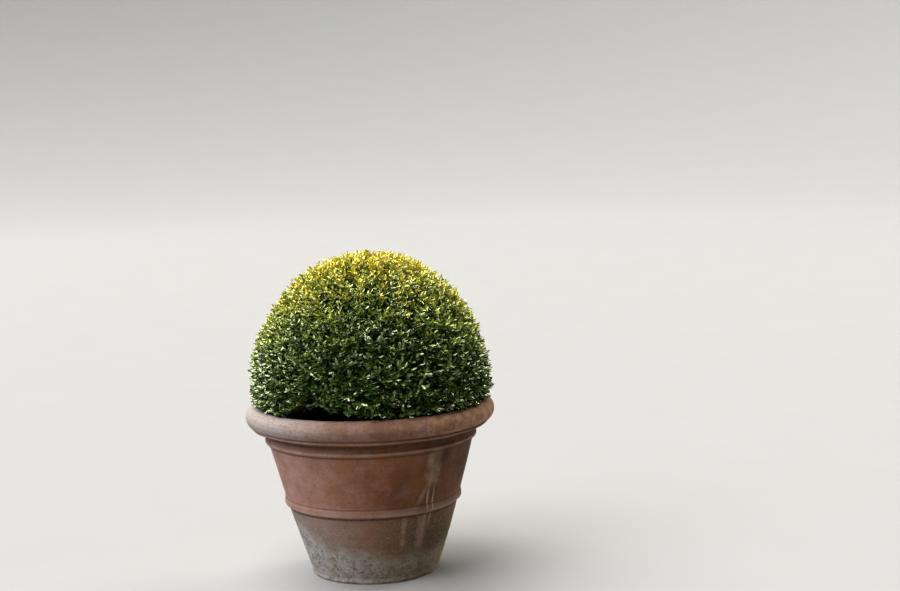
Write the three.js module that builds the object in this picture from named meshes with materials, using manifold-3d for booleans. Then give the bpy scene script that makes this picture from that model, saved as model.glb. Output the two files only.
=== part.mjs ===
// A box bush clipped to a ball, growing in a hand-thrown terracotta pot with a rolled rim.
// Millimetres, +Z up. The origin is the centre of the pot's flat underside, and -Y is the front.
import * as THREE from "three";
import { mergeVertices } from "three/addons/utils/BufferGeometryUtils.js";
import Module from "manifold-3d";

const wasm = await Module();
wasm.setup();

// The pot: a thick-walled cone with a rolled rim, a collar under the rim and a raised band.
const RIM_ROLL = { ring: 275, tube: 25, height: 388, foot: -52, steps: 13 };
const FOOT = { radius: 155, height: 12, wear: 5 };
const WALL = { topRadius: 246, top: 319, belly: 3.5, steps: 4 };
const FLOOR = { radius: 131, thickness: 31, drainRadius: 17 };
const MOUTH_RADIUS = 250;
const POT_SIDES = 64;

// The collar and the bead over it: each point's distance from the axis, and its height.
const COLLAR_OUTLINE = [
  [252, 324],
  [256, 328],
  [256, 333],
  [251, 339],
  [255, 350],
  [268, 355],
  [282, 359],
  [286, 363],
  [284, 367],
];

// The band: each point's share of the band's height, and of how far the band stands out.
const BAND = { low: 171, height: 26, proud: 6 };
const BAND_OUTLINE = [
  [0.07, 0.7],
  [0.2, 1.15],
  [0.45, 0.95],
  [0.76, 0.35],
];

// The soil that fills the pot, a little mounded round the stem.
const FIT_GAP = 0.3;
const SOIL = { edge: 383, crown: 390, crownRadius: 62 };

// The short stem, from a flat cut at the soil to its tip under the foliage.
const STEM = { height: 66, footRadius: 21, tipRadius: 15, lean: 5, sides: 15, rings: 9 };
const FLARE = { reach: 15, fade: 13, lobes: 5, lobeShare: 0.35 };

// The clipped ball: a dome whose widest level is just above the rim.
const BALL = { radius: 294, rise: 337, equator: 445, squareness: 2.06 };
const SKIRT = { bottom: 400, tuck: 14 };
const CORE = { depth: 26, sides: 28, rings: 8, bottom: 402, hem: 424 };
const RECESS = { radius: 78, roof: 482 };
const CLEARANCE = 4;

// The limbs inside the ball. Each level's limbs spring from the nearest tips of the level before, and
// the last level bears the leaves. A reach is a share of the way to the dome, radii are at root and tip,
// and lowest is the sine of the lowest limb's elevation seen from the fork.
const FORK = new THREE.Vector3(STEM.lean, 0, 505);
const LIMB_LEVELS = [
  { count: 7, reach: 0.42, radii: [11, 8], lowest: 0.05 },
  { count: 32, reach: 0.7, radii: [8, 6], lowest: -0.12 },
  { count: 112, reach: 0.975, radii: [6, 3], lowest: -0.27 },
];
const TIP_JITTER = 9;

// A shoot's crossed pairs of leaves: how far below its tip they spring, and their angle from the shoot.
const LEAF = { length: 50, width: 30, thickness: 3.2, sunk: 1 };
const LEAF_PAIRS = [
  { fromTip: 27, lift: 66, scale: 1 },
  { fromTip: 13, lift: 50, scale: 0.9 },
];
const LEAF_SPACING = 30;
const LIFT_STEP = 8;
const LIFT_LIMIT = 95;
const SEED = 20417;

const COLOURS = { terracotta: 0x9c6650, soil: 0x33271f, bark: 0x6f6048, foliage: 0x566b24 };

const UP = new THREE.Vector3(0, 0, 1);
const TURN = 2 * Math.PI;
const GOLDEN_ANGLE = Math.PI * (3 - Math.sqrt(5));
const degrees = THREE.MathUtils.degToRad;

// Small helpers for profiles and solids.

// A point of a lathe's profile.
const at = (radius, height) => new THREE.Vector2(radius, height);

// Points of a roll's arc in a profile, between two angles in degrees, with 0 outwards and 90 up.
function arcPoints(roll, from, to) {
  return Array.from({ length: roll.steps + 1 }, (_, i) => {
    const angle = degrees(THREE.MathUtils.lerp(from, to, i / roll.steps));
    return at(roll.ring + roll.tube * Math.cos(angle), roll.height + roll.tube * Math.sin(angle));
  });
}

// A profile turned about the Z axis. It runs anticlockwise, seen with the radius to the right.
function turned(profile, sides) {
  return new THREE.LatheGeometry(profile, sides).rotateX(Math.PI / 2);
}

// A limb through rings of points from its root to its tip, anticlockwise seen from the tip, with flat ends.
function lofted(rings) {
  const sides = rings[0].length;
  const top = sides * (rings.length - 1);
  const index = [];
  for (let low = 0; low < top; low += sides) {
    for (let side = 0; side < sides; side++) {
      const next = (side + 1) % sides;
      index.push(low + side, low + next, low + sides + next);
      index.push(low + side, low + sides + next, low + sides + side);
    }
  }
  for (let side = 1; side < sides - 1; side++) {
    index.push(0, side + 1, side);
    index.push(top, top + side, top + side + 1);
  }
  return new THREE.BufferGeometry().setFromPoints(rings.flat()).setIndex(index);
}

function solidOf(geometry) {
  geometry.deleteAttribute("normal");
  geometry.deleteAttribute("uv");
  const merged = mergeVertices(geometry, 1e-3);
  const mesh = new wasm.Mesh({
    numProp: 3,
    vertProperties: merged.attributes.position.array,
    triVerts: new Uint32Array(merged.index.array),
  });
  return new wasm.Manifold(mesh);
}

function geometryOf(solid) {
  const mesh = solid.getMesh();
  const position = new THREE.BufferAttribute(new Float32Array(mesh.vertProperties), 3);
  return new THREE.BufferGeometry().setAttribute("position", position).setIndex([...mesh.triVerts]);
}

// Joins solids two by two, so that no step is much larger than the next.
function joined(solids) {
  if (solids.length === 1) return solids[0];
  const half = Math.floor(solids.length / 2);
  return joined(solids.slice(0, half)).add(joined(solids.slice(half)));
}

// The same numbers in the same order on every run, between 0 and 1.
function seededRandom(seed) {
  let state = seed;
  return () => {
    state = (state * 1664525 + 1013904223) % 4294967296;
    return state / 4294967296;
  };
}

function named(name, geometry, color, roughness) {
  const material = new THREE.MeshStandardMaterial({ color, roughness, metalness: 0 });
  const mesh = new THREE.Mesh(geometry, material);
  mesh.name = name;
  return mesh;
}

// The pot.

// The cone of the outer wall between the foot and the collar, with a slight belly.
function wallRadius(height) {
  const share = (height - FOOT.height) / (WALL.top - FOOT.height);
  return THREE.MathUtils.lerp(FOOT.radius, WALL.topRadius, share) + WALL.belly * Math.sin(Math.PI * share);
}

function wallPoints(low, high) {
  return Array.from({ length: WALL.steps + 1 }, (_, i) => {
    const height = THREE.MathUtils.lerp(low, high, i / WALL.steps);
    return at(wallRadius(height), height);
  });
}

// How far the inner wall is from the axis: a straight line from the floor's edge to the mouth.
function innerRadius(height) {
  const share = (height - FLOOR.thickness) / (RIM_ROLL.height - FLOOR.thickness);
  return THREE.MathUtils.lerp(FLOOR.radius, MOUTH_RADIUS, share);
}

function bandPoints() {
  return BAND_OUTLINE.map(([rise, out]) => {
    const height = BAND.low + rise * BAND.height;
    return at(wallRadius(height) + out * BAND.proud, height);
  });
}

function potGeometry() {
  const footEdge = at(FOOT.radius - FOOT.wear, 0);
  return turned(
    [
      footEdge,
      at(FOOT.radius - 0.3 * FOOT.wear, 0.3 * FOOT.wear),
      at(FOOT.radius, FOOT.wear),
      ...wallPoints(FOOT.height, BAND.low),
      ...bandPoints(),
      ...wallPoints(BAND.low + BAND.height, WALL.top),
      ...COLLAR_OUTLINE.map(([radius, height]) => at(radius, height)),
      ...arcPoints(RIM_ROLL, RIM_ROLL.foot, 180),
      at(FLOOR.radius, FLOOR.thickness),
      at(FLOOR.drainRadius, FLOOR.thickness),
      at(FLOOR.drainRadius, 0),
      footEdge,
    ],
    POT_SIDES,
  );
}

// The soil.

function soilGeometry() {
  const low = FLOOR.thickness + FIT_GAP;
  return turned(
    [
      at(0, low),
      at(innerRadius(low) - FIT_GAP, low),
      at(innerRadius(SOIL.edge) - FIT_GAP, SOIL.edge),
      at((MOUTH_RADIUS + SOIL.crownRadius) / 2, (2 * SOIL.edge + SOIL.crown) / 3),
      at(SOIL.crownRadius, SOIL.crown),
      at(0, SOIL.crown),
    ],
    POT_SIDES,
  );
}

// The stem.

const STEM_FOOT = SOIL.crown + FIT_GAP;
const STEM_TIP = STEM_FOOT + STEM.height;

function stemRadius(rise) {
  return THREE.MathUtils.lerp(STEM.footRadius, STEM.tipRadius, rise / STEM.height);
}

// A point of the stem's bark: lobed where the roots spread, rounder and thinner above.
function stemPoint(rise, angle) {
  const flare = FLARE.reach * Math.exp(-rise / FLARE.fade);
  const radius = stemRadius(rise) + flare * (1 + FLARE.lobeShare * Math.cos(FLARE.lobes * angle));
  const lean = STEM.lean * (rise / STEM.height) ** 2;
  return new THREE.Vector3(lean + radius * Math.cos(angle), radius * Math.sin(angle), STEM_FOOT + rise);
}

// The rings lie closer together in the flare.
function stemGeometry() {
  const rings = Array.from({ length: STEM.rings }, (_, ring) => {
    const rise = STEM.height * (ring / (STEM.rings - 1)) ** 1.6;
    return Array.from({ length: STEM.sides }, (_, side) => stemPoint(rise, (TURN * side) / STEM.sides));
  });
  return lofted(rings);
}

// The foliage's own space.

// The dome's radius at a height, taken in evenly by an inset.
function domeRadius(height, inset = 0) {
  const radius = BALL.radius - inset;
  if (height < BALL.equator) {
    const drop = (BALL.equator - height) / (BALL.equator - SKIRT.bottom);
    return radius - SKIRT.tuck * drop ** 2;
  }
  const share = Math.min((height - BALL.equator) / (BALL.rise - inset), 1);
  return radius * (1 - share ** BALL.squareness) ** (1 / BALL.squareness);
}

// The ground that leaves stay above: the rim's roll, and inside it the soil.
function lowestHeight(radius) {
  const across = Math.min(Math.abs(radius - RIM_ROLL.ring) / RIM_ROLL.tube, 1);
  const overRoll = RIM_ROLL.height + RIM_ROLL.tube * Math.sqrt(1 - across ** 2);
  return CLEARANCE + (radius < MOUTH_RADIUS ? SOIL.crown : overRoll);
}

function insideSpace(point) {
  const radius = Math.hypot(point.x, point.y);
  const clearOfStem = point.z > STEM_TIP + CLEARANCE || radius > STEM.footRadius + FLARE.reach + CLEARANCE;
  return clearOfStem && radius <= domeRadius(point.z) && point.z >= lowestHeight(radius);
}

// A point of the dome: share is the sine of its elevation from the fork, and reach how far out it lies.
function domePoint(share, angle, reach) {
  const flat = Math.sqrt(1 - share ** 2);
  const direction = new THREE.Vector3(flat * Math.cos(angle), flat * Math.sin(angle), share);
  let [near, far] = [0, 2 * BALL.radius];
  while (far - near > 0.05) {
    const middle = (near + far) / 2;
    const [radius, height] = [flat * middle, FORK.z + share * middle];
    const inside = height < BALL.equator + BALL.rise && height > SKIRT.bottom && radius < domeRadius(height);
    if (inside) near = middle;
    else far = middle;
  }
  return new THREE.Vector3(0, 0, FORK.z).addScaledVector(direction, reach * near);
}

// The core: the dense inner foliage, taken in from the outline and hollowed round the stem.
// Its bottom lies inside the pot's mouth, and its hem spreads over the rim.
function coreGeometry() {
  const top = BALL.equator + BALL.rise - CORE.depth;
  const dome = Array.from({ length: CORE.rings }, (_, i) => {
    const height = CORE.hem + (top - CORE.hem) * Math.sin((0.5 * Math.PI * i) / CORE.rings);
    return at(domeRadius(height, CORE.depth), height);
  });
  const recess = [
    at(0, RECESS.roof),
    at(0.6 * RECESS.radius, THREE.MathUtils.lerp(CORE.bottom, RECESS.roof, 0.8)),
    at(RECESS.radius, CORE.bottom),
  ];
  return turned([...recess, at(MOUTH_RADIUS - 3 * CLEARANCE, CORE.bottom), ...dome, at(0, top)], CORE.sides);
}

// The twigs and leaves of the foliage.

// A three-sided tapering twig, with its root's and its tip's radius.
function twigSolid(from, to, [rootRadius, tipRadius]) {
  const direction = new THREE.Vector3().subVectors(to, from).normalize();
  const turn = new THREE.Quaternion().setFromUnitVectors(UP, direction);
  const ring = (centre, radius) =>
    [0, TURN / 3, (2 * TURN) / 3].map((angle) => {
      const corner = new THREE.Vector3(radius * Math.cos(angle), radius * Math.sin(angle), 0);
      return corner.applyQuaternion(turn).add(centre);
    });
  return solidOf(lofted([ring(from, rootRadius), ring(to, tipRadius)]));
}

// A leaf of eight faces. Its root is sunk in its twig, and its face looks along the shoot.
function leafGeometry(root, direction, facing, scale) {
  const side = new THREE.Vector3().crossVectors(facing, direction).normalize();
  const face = new THREE.Vector3().crossVectors(direction, side);
  const placed = new THREE.Matrix4().makeBasis(side, face, direction);
  placed.setPosition(root.clone().addScaledVector(direction, -LEAF.sunk));
  return new THREE.OctahedronGeometry(1)
    .scale((scale * LEAF.width) / 2, LEAF.thickness / 2, (scale * LEAF.length) / 2)
    .translate(0, 0, (scale * LEAF.length) / 2)
    .applyMatrix4(placed);
}

function staysInside(geometry) {
  const position = geometry.getAttribute("position");
  const corner = new THREE.Vector3();
  for (let i = 0; i < position.count; i++) {
    if (!insideSpace(corner.fromBufferAttribute(position, i))) return false;
  }
  return true;
}

// Lays a leaf lower and lower on its shoot until it is inside the space and clear of its neighbours.
// The middles hold the middle of each leaf so far. The answer is the leaf's solid, or nothing.
function leafSolid(root, shootDirection, sideways, pair, middles) {
  for (let lift = pair.lift; lift <= LIFT_LIMIT; lift += LIFT_STEP) {
    const direction = shootDirection
      .clone()
      .multiplyScalar(Math.cos(degrees(lift)))
      .addScaledVector(sideways, Math.sin(degrees(lift)));
    const middle = root.clone().addScaledVector(direction, (pair.scale * LEAF.length) / 2);
    const leaf = leafGeometry(root, direction, shootDirection, pair.scale);
    if (staysInside(leaf) && middles.every((other) => other.distanceTo(middle) > LEAF_SPACING)) {
      middles.push(middle);
      return [solidOf(leaf)];
    }
  }
  return [];
}

// A shoot's leaves: crossed pairs below its tip.
function shootLeaves(from, tip, random, middles) {
  const direction = new THREE.Vector3().subVectors(tip, from).normalize();
  const across = new THREE.Vector3().crossVectors(direction, UP).normalize();
  const twist = TURN * random();
  return LEAF_PAIRS.flatMap((pair, level) =>
    [0, 1].flatMap((half) => {
      const sideways = across.clone().applyAxisAngle(direction, twist + Math.PI * (half + level / 2));
      const root = tip.clone().addScaledVector(direction, -pair.fromTip);
      return leafSolid(root, direction, sideways, pair, middles);
    }),
  );
}

// One level's limb tips, spread evenly over the dome by the golden angle.
function levelTips(level, random) {
  return Array.from({ length: level.count }, (_, i) => {
    const share = THREE.MathUtils.lerp(level.lowest, 1, (i + 0.5) / level.count);
    const jitter = new THREE.Vector3(random() - 0.5, random() - 0.5, 0).multiplyScalar(TIP_JITTER);
    return domePoint(share, GOLDEN_ANGLE * i, level.reach).add(jitter);
  });
}

const nearest = (points, point) =>
  points.reduce((best, other) => (other.distanceTo(point) < best.distanceTo(point) ? other : best));

function foliageGeometry() {
  const random = seededRandom(SEED);
  const middles = [];
  const stemRoot = FORK.clone().setZ(STEM_TIP + FIT_GAP);
  const stemTop = FORK.clone().addScaledVector(UP, STEM.height);
  const solids = [solidOf(coreGeometry()), twigSolid(stemRoot, stemTop, [STEM.tipRadius, STEM.tipRadius])];
  let springs = [FORK];
  LIMB_LEVELS.forEach((level, depth) => {
    const tips = levelTips(level, random);
    for (const tip of tips) {
      const spring = nearest(springs, tip);
      solids.push(twigSolid(spring, tip, level.radii));
      if (depth === LIMB_LEVELS.length - 1) solids.push(...shootLeaves(spring, tip, random, middles));
    }
    springs = tips;
  });
  const pieces = joined(solids).decompose();
  return geometryOf(pieces.reduce((best, piece) => (piece.volume() > best.volume() ? piece : best)));
}

const topiary = new THREE.Group();
topiary.add(
  named("terracotta_pot", potGeometry(), COLOURS.terracotta, 0.85),
  named("potting_soil", soilGeometry(), COLOURS.soil, 1),
  named("main_stem", stemGeometry(), COLOURS.bark, 0.9),
  named("clipped_foliage", foliageGeometry(), COLOURS.foliage, 0.6),
);

export default topiary;
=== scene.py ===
import itertools
import math
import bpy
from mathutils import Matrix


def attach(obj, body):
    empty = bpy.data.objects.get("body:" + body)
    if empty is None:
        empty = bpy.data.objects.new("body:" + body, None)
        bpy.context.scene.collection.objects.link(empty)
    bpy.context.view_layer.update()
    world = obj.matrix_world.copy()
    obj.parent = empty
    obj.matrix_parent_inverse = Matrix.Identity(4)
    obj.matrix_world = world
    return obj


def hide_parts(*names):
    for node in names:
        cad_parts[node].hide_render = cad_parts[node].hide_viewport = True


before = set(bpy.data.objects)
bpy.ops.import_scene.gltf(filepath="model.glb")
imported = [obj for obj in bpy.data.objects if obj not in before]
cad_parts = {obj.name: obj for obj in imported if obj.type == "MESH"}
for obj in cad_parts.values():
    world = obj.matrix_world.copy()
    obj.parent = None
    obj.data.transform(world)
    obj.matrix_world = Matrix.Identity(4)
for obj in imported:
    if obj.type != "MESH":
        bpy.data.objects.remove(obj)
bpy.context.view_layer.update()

from types import SimpleNamespace

import bmesh
import bpy
import numpy as np
from mathutils import Matrix, Vector

# The pot, in metres, from the foot's edge up the wall, over the rim and back inside. The band's outline
# is given as shares of its height and of how proud it stands, the collar's as radii and heights.
FOOT_RADIUS = 0.155
FOOT_HEIGHT = 0.012
FOOT_WEAR = 0.005
WALL_TOP = 0.319
WALL_TOP_RADIUS = 0.246
WALL_BELLY = 0.0035
WALL_ROWS = 9
BAND_LOW = 0.171
BAND_HEIGHT = 0.026
BAND_PROUD = 0.006
BAND_OUTLINE = ((0.07, 0.7), (0.2, 1.15), (0.45, 0.95), (0.76, 0.35))
COLLAR_OUTLINE = (
    (0.252, 0.324),
    (0.256, 0.328),
    (0.256, 0.333),
    (0.251, 0.339),
    (0.255, 0.350),
    (0.268, 0.355),
    (0.282, 0.359),
    (0.286, 0.363),
    (0.284, 0.367),
)
RIM_RING = 0.275
RIM_TUBE = 0.025
RIM_HEIGHT = 0.388
RIM_FOOT_ANGLE = -52
RIM_ROWS = 58
MOUTH_RADIUS = 0.250
INSIDE_ROWS = 26
INSIDE_DROP = 0.004
FLOOR_RADIUS = 0.131
FLOOR_THICKNESS = 0.031
DRAIN_RADIUS = 0.017
UNDERSIDE_RADII = (0.09, 0.14)
POT_COLUMNS = 288
OUTLINE_STEP = 0.0022
OUTLINE_WEAR = 0.0024
POT_SEED = 11
FIT_GAP = 0.0003

# The thrown clay's relief. A throwing ring is given by its radians a metre, how far it sways and its
# share, and a grain by its size, its seed and its share, as the soil's crumbs and the bark's ridges are.
THROWING_RINGS = ((1150, 5, 1.0), (2070, 7, 0.7))
RING_SWAY_SIZE = 0.11
RING_DEPTH = 0.00009
DENT_SIZE = 0.085
DENT_DEPTH = 0.0011
CLAY_GRAINS = ((0.009, 5, 1.0), (0.004, 6, 0.6))
GRAIN_DEPTH = 0.00022

# The chips in the clay: each chipped edge's height, radius and number of chips. A chip is at its full
# depth over the inner share of its size.
CHIPPED_EDGES = ((0.0, FOOT_RADIUS, 18), (0.176, 0.214, 8), (0.331, 0.256, 7), (0.405, 0.293, 6))
CHIP_SIZES = (0.005, 0.014)
CHIP_DEPTH = 0.22
CHIP_INNER = 0.35
CHIP_FLATNESS = 1.4

# The soil and the stem.
SOIL_EDGE = 0.383
SOIL_CROWN = 0.390
SOIL_CROWN_RADIUS = 0.062
SOIL_COLUMNS = 150
SOIL_ROWS = 60
SOIL_SHRINK = 0.008
CRUMBS = ((0.014, 21, 1.0), (0.006, 22, 0.5))
CRUMB_HEIGHT = 0.006
CRUMBLY_FROM = (0.03, 0.07)
STEM_FOOT = SOIL_CROWN + FIT_GAP
STEM_HEIGHT = 0.066
STEM_FOOT_RADIUS = 0.021
STEM_TIP_RADIUS = 0.015
STEM_LEAN = 0.005
STEM_COLUMNS = 60
STEM_ROWS = 46
STEM_ROWS_LOW = 1.4
FLARE_REACH = 0.015
FLARE_FADE = 0.013
FLARE_LOBES = 5
FLARE_WAVE = 0.35
BARK_RIDGES = ((0.9, 31, 1.0), (0.4, 32, 0.4))
BARK_STRETCH = (9, 9, 60)
BARK_DEPTH = 0.0022

# The clipped ball: a dome whose widest level is just above the rim, tucked in a little below it.
BALL_RADIUS = 0.294
BALL_RISE = 0.337
BALL_EQUATOR = 0.445
BALL_SQUARENESS = 2.06
SKIRT_BOTTOM = 0.400
SKIRT_TUCK = 0.014
FORK = np.array((STEM_LEAN, 0.0, 0.505))

# Each level's limbs spring from the nearest tips of the level before. A reach is a share of the way
# from the fork to the dome, ragged is the share of it that a limb may fall short, lowest is the sine
# of the lowest elevation, and scatter moves the tips sideways. The radii are at a limb's two ends.
LIMB_LEVELS = (
    {"count": 7, "reach": 0.42, "lowest": 0.05, "scatter": 0.0, "ragged": 0.0},
    {"count": 32, "reach": 0.70, "lowest": -0.12, "scatter": 0.01, "ragged": 0.05},
    {"count": 112, "reach": 0.78, "lowest": -0.27, "scatter": 0.01, "ragged": 0.06},
    {"count": 620, "reach": 0.86, "lowest": -0.31, "scatter": 0.02, "ragged": 0.05},
)
LIMB_RADII = ((0.011, 0.008), (0.008, 0.006), (0.0055, 0.0035), (0.0028, 0.0018))
LIMB_SWAY = 0.05
OWN_STEM_RADII = (STEM_TIP_RADIUS, STEM_TIP_RADIUS, 0.012)
BOUGH_TUBES = {"Sides": 14, "Step": 0.006, "Relief": 0.0035}
TWIG_TUBES = {"Sides": 3, "Step": 0.018, "Relief": 0.0}
BOUGH_RIDGES = 160
FOLIAGE_SEED = 20417

# The leafy shoots, which point away from a centre under the fork and turn up more the higher they grow.
# The clipping is uneven by its depth, in waves of its size.
OUTER_SHOOTS = {"count": 3000, "reach": 0.976, "lowest": -0.33, "scatter": 0.022, "ragged": 0.045}
INNER_SHOOTS = {"count": 2000, "reach": 0.90, "lowest": -0.33, "scatter": 0.03, "ragged": 0.08}
SHOOT_CENTRE = FORK * (1, 1, 0.86)
SHOOT_RADII = (0.0013, 0.0011, 0.0008)
SHOOT_LIFT = 0.3
SHOOT_DROOP = -0.05
SHOOT_LIFT_HEIGHTS = (0.415, 0.50)
SHOOT_SCATTER = 0.24
SPRAY_DEPTH = 0.002
CLIPPING_DEPTH = 0.003
CLIPPING_SIZE = 0.07

# The leaves, in crossed pairs down each shoot. The pairs open out with age, from 40 to 72 degrees, and
# the crown's leaves are younger, smaller and more upright. Grown is a leaf's size as a share of the full
# one.
LEAF_PAIRS = 5
LEAF_FIRST = 0.001
LEAF_STEP = 0.0068
LEAF_LENGTH = 0.0228
LEAF_WIDTH = 0.0102
LEAF_SIZES = (0.82, 1.15)
YOUNGEST_LEAF = 0.66
LEAF_GROWTH = 1.6
LEAF_TWIST = 0.18
LEAF_OPENING = (40, 32)
LEAF_OPENING_SCATTER = 12
LEAF_FLATNESS = 0.58
LEAF_RISE = 0.05
FACING_OUT = 0.62
FACING_UP = 0.85
FACING_SCATTER = 0.38
CROWN_HEIGHTS = (0.48, 0.70)
CROWN_YOUTH = 0.33
CROWN_UPRIGHTNESS = 0.25
LEAF_OVERHANG = 0.009
TOP_OVERHANG = 0.002
OLD_LEAVES_PER_TWIG = 9
OLD_LEAF_SIZES = (1.0, 1.3)
OLD_LEAF_DEPTH = 0.01
OLD_LEAF_FROM = 0.35
OLD_LEAF_SCATTER = 0.8
OLD_FACING_UP = 0.6
MOST_LEAVES = 16000

# A leaf's two shapes: how far it folds along its rib, how far its tip droops, and whether the fold is
# a sharp crease or a soft bend.
BLADES = {
    "cupped": {"fold": 0.42, "droop": 0.06, "creased": True},
    "arched": {"fold": -0.5, "droop": 0.3, "creased": False},
}

# How far the foliage keeps from the pot and the soil, and how its hem rises and falls round the pot.
CLEARANCE = 0.0015
SOIL_CLEARANCE = 0.006
HEM_RAGGED = 0.0042
HEM_RAGGED_SIZE = 0.2
HEM_RADII = (0.17, 0.24)
HEM_GAP_BEARING = math.radians(-26)
HEM_GAP_WIDTH = math.radians(14)
HEM_GAP_LIFT = 0.036
HEM_GAP_RAGGED = 0.9
HEM_GAP_RAGGED_SIZE = 0.06

GOLDEN_ANGLE = math.pi * (3 - math.sqrt(5))
UP = np.array((0.0, 0.0, 1.0))


def colour(red, green, blue):
    """A colour as a screen shows it, 0 to 255 a channel, as the linear values that a shader takes."""
    shares = (channel / 255 for channel in (red, green, blue))
    linear = [(share + 0.055) ** 2.4 / 1.055**2.4 if share > 0.04 else share / 12.92 for share in shares]
    return (*linear, 1.0)


def hashed(cells, seed):
    """A number from -1 to 1 for each whole-numbered cell, always the same one."""
    mixed_up = (cells * (73856093, 19349663, 83492791)).sum(axis=1) + seed * 26544357
    mixed_up = ((mixed_up ^ (mixed_up >> 13)) * 1274126177) & 0xFFFFFFFF
    return ((mixed_up ^ (mixed_up >> 16)) & 0xFFFF) / 32767.5 - 1


def rough_noise(points, size, seed):
    """Smooth noise from -1 to 1 at each point, with hills about as wide as size."""
    cells = np.asarray(points, float) / size
    low = np.floor(cells).astype(np.int64)
    part = cells - low
    part = part * part * (3 - 2 * part)
    total = np.zeros(len(cells))
    for corner in itertools.product((0, 1), repeat=3):
        weight = np.prod(np.where(corner, part, 1 - part), axis=1)
        total += weight * hashed(low + corner, seed)
    return total


def grained(points, grains):
    """Noises laid over each other, each given by its size, its seed and its share."""
    return sum(share * rough_noise(points, size, seed) for size, seed, share in grains)


def ridged(points, grains):
    """The same, with each noise folded up where it is below 0, which leaves sharp valleys."""
    return sum(share * np.abs(rough_noise(points, size, seed)) for size, seed, share in grains)


def smooth_step(low, high, value):
    """Runs smoothly from 0 to 1 as the value goes from low to high."""
    share = np.clip((value - low) / (high - low), 0, 1)
    return share * share * (3 - 2 * share)


def unit(vectors):
    return vectors / np.maximum(np.linalg.norm(vectors, axis=-1, keepdims=True), 1e-9)


# Objects and meshes

def new_object(name, data):
    """An object in the scene, which shows a mesh or stands for a light or a camera."""
    thing = bpy.data.objects.new(name, data)
    bpy.context.scene.collection.objects.link(thing)
    return thing


def new_piece(name, mesh, material, slot, *nodes):
    """A finished piece: it rides on the one body, takes the material as its finish and stands for its CAD
    nodes; the slot is not used.
    """
    piece = new_object(name, mesh)
    mesh.materials.clear()
    mesh.materials.append(material)
    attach(piece, "root")
    if nodes:
        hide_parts(*nodes)
    return piece


def mesh_of(name, points, faces):
    """A smooth-shaded mesh of points and the numbers of each face's corners."""
    mesh = bpy.data.meshes.new(name)
    corners = faces.tolist() if isinstance(faces, np.ndarray) else faces
    mesh.from_pydata(np.asarray(points).tolist(), [], corners)
    mesh.polygons.foreach_set("use_smooth", [True] * len(mesh.polygons))
    mesh.update()
    return mesh


def grid_faces(rows, columns, row_wraps):
    """Four-sided faces between the points of rows that run round in columns."""
    row, column = np.meshgrid(np.arange(rows if row_wraps else rows - 1), np.arange(columns), indexing="ij")
    next_row = (row + 1) % rows
    next_column = (column + 1) % columns
    corners = (row * columns + column, row * columns + next_column)
    corners += (next_row * columns + next_column, next_row * columns + column)
    return np.stack([corner.ravel() for corner in corners], axis=1)


def round_turn(columns):
    """The bearings of columns spaced evenly round the Z axis."""
    return np.linspace(0, 2 * math.pi, columns, endpoint=False)


def turned_points(profile, columns):
    """The points of a profile of radii and heights turned about the Z axis, row by row."""
    bearing = round_turn(columns)
    radius = profile[:, :1]
    x = radius * np.sin(bearing)
    y = -radius * np.cos(bearing)
    z = np.repeat(profile[:, 1:], columns, axis=1)
    return np.stack([x, y, z], axis=2).reshape(-1, 3)


def outline_steps(corners, step, rounding):
    """Points every step along an outline whose corners are worn round over the rounding's length."""
    spread = 3
    reach = 3 * spread
    corners = np.asarray(corners, float)
    fine = rounding / (2 * spread)
    along = np.concatenate([[0], np.cumsum(np.linalg.norm(np.diff(corners, axis=0), axis=1))])
    places = np.linspace(0, along[-1], int(along[-1] / fine))
    line = np.stack([np.interp(places, along, corners[:, axis]) for axis in (0, 1)], axis=1)
    weights = np.exp(-0.5 * (np.arange(-reach, reach + 1) / spread) ** 2)
    weights /= weights.sum()
    padded = np.pad(line, ((reach, reach), (0, 0)), mode="edge")
    worn = np.stack([np.convolve(padded[:, axis], weights, mode="valid") for axis in (0, 1)], axis=1)
    worn[0], worn[-1] = line[0], line[-1]
    return worn[:: max(1, round(step / fine))]


# The pot

def wall_radius(height):
    share = (height - FOOT_HEIGHT) / (WALL_TOP - FOOT_HEIGHT)
    return FOOT_RADIUS + (WALL_TOP_RADIUS - FOOT_RADIUS) * share + WALL_BELLY * np.sin(math.pi * share)


def inner_radius(height):
    share = (height - FLOOR_THICKNESS) / (RIM_HEIGHT - FLOOR_THICKNESS)
    return FLOOR_RADIUS + (MOUTH_RADIUS - FLOOR_RADIUS) * share


def pot_outside():
    """The outside's corners from the foot's edge up to the roll's innermost line."""
    worn = 0.3 * FOOT_WEAR
    foot = [(FOOT_RADIUS - FOOT_WEAR, 0), (FOOT_RADIUS - worn, worn), (FOOT_RADIUS, FOOT_WEAR)]
    wall = [(wall_radius(height), height) for height in np.linspace(FOOT_HEIGHT, BAND_LOW, WALL_ROWS)]
    for rise, proud in BAND_OUTLINE:
        height = BAND_LOW + rise * BAND_HEIGHT
        wall.append((wall_radius(height) + proud * BAND_PROUD, height))
    upper = np.linspace(BAND_LOW + BAND_HEIGHT, WALL_TOP, WALL_ROWS)
    wall += [(wall_radius(height), height) for height in upper]
    roll = np.radians(np.linspace(RIM_FOOT_ANGLE, 180, RIM_ROWS))
    arc = [(RIM_RING + RIM_TUBE * math.cos(a), RIM_HEIGHT + RIM_TUBE * math.sin(a)) for a in roll]
    return foot + wall + list(COLLAR_OUTLINE) + arc


def pot_inside():
    """The inside from just under the rim down to the floor, through the drain hole and under the pot."""
    heights = np.linspace(RIM_HEIGHT - INSIDE_DROP, FLOOR_THICKNESS, INSIDE_ROWS)
    wall = np.stack([inner_radius(heights), heights], axis=1)
    drain = [(DRAIN_RADIUS, FLOOR_THICKNESS), (DRAIN_RADIUS, 0)]
    underside = [(radius, 0) for radius in UNDERSIDE_RADII]
    return np.concatenate([wall, drain + underside])


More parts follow.
